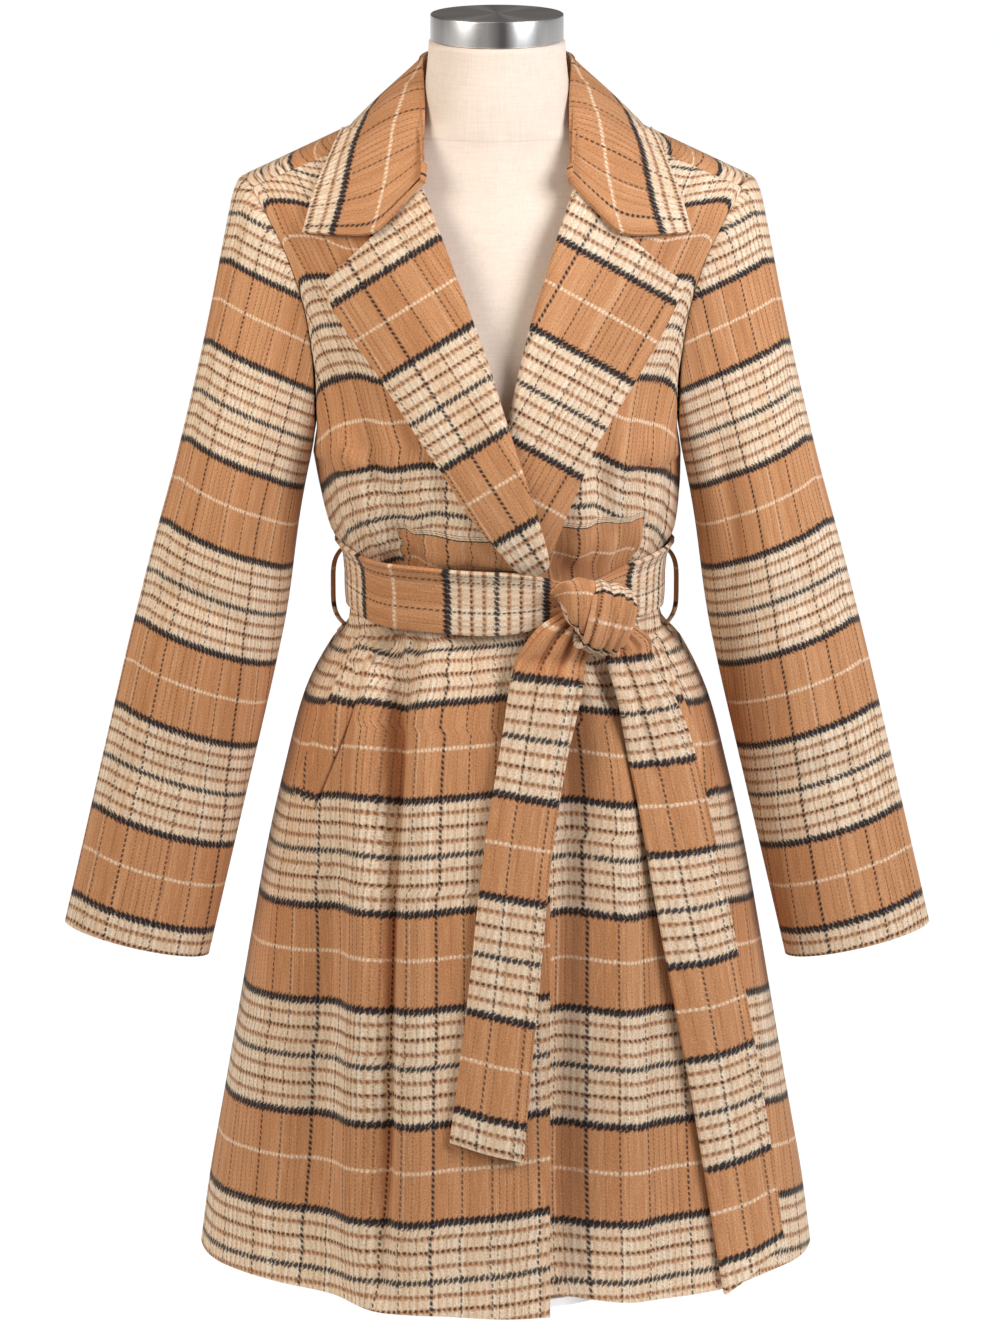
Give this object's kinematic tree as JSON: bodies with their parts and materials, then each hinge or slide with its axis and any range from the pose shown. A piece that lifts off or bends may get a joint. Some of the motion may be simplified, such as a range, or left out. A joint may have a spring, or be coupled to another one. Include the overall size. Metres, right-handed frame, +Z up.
{
  "type": "wrap coat on a dress form",
  "caption": "Knee-length belted wrap coat with notched collar, set-in sleeves and welt pockets, worn by a limbless dress form on a round foot.",
  "frame": {"origin": "centre of the foot's underside, on the floor", "axes": "+Z up; the coat's front faces -Y and the wearer's right side is at -X"},
  "size_m": [0.679, 0.3717, 1.004],
  "materials": {
    "wool_check": "brushed wool check in camel, cream and black",
    "form_linen": "smooth cream linen cover",
    "brushed_steel": "brushed steel"
  },
  "bodies": {
    "root": {"back": "wool_check", "front_right": "wool_check", "front_left": "wool_check", "sleeve_right": "wool_check", "sleeve_left": "wool_check", "lapel_right": "wool_check", "lapel_left": "wool_check", "collar": "wool_check", "belt_band": "wool_check", "belt_knot_core": "wool_check", "belt_knot_turn": "wool_check", "belt_tail_short": "wool_check", "belt_tail_long": "wool_check", "pocket_welt_right": "wool_check", "pocket_welt_left": "wool_check", "belt_loop_right": "wool_check", "belt_loop_left": "wool_check", "form_body": "form_linen", "form_cap": "brushed_steel", "stand_pole": "brushed_steel", "stand_base": "brushed_steel"}
  },
  "joints": []
}
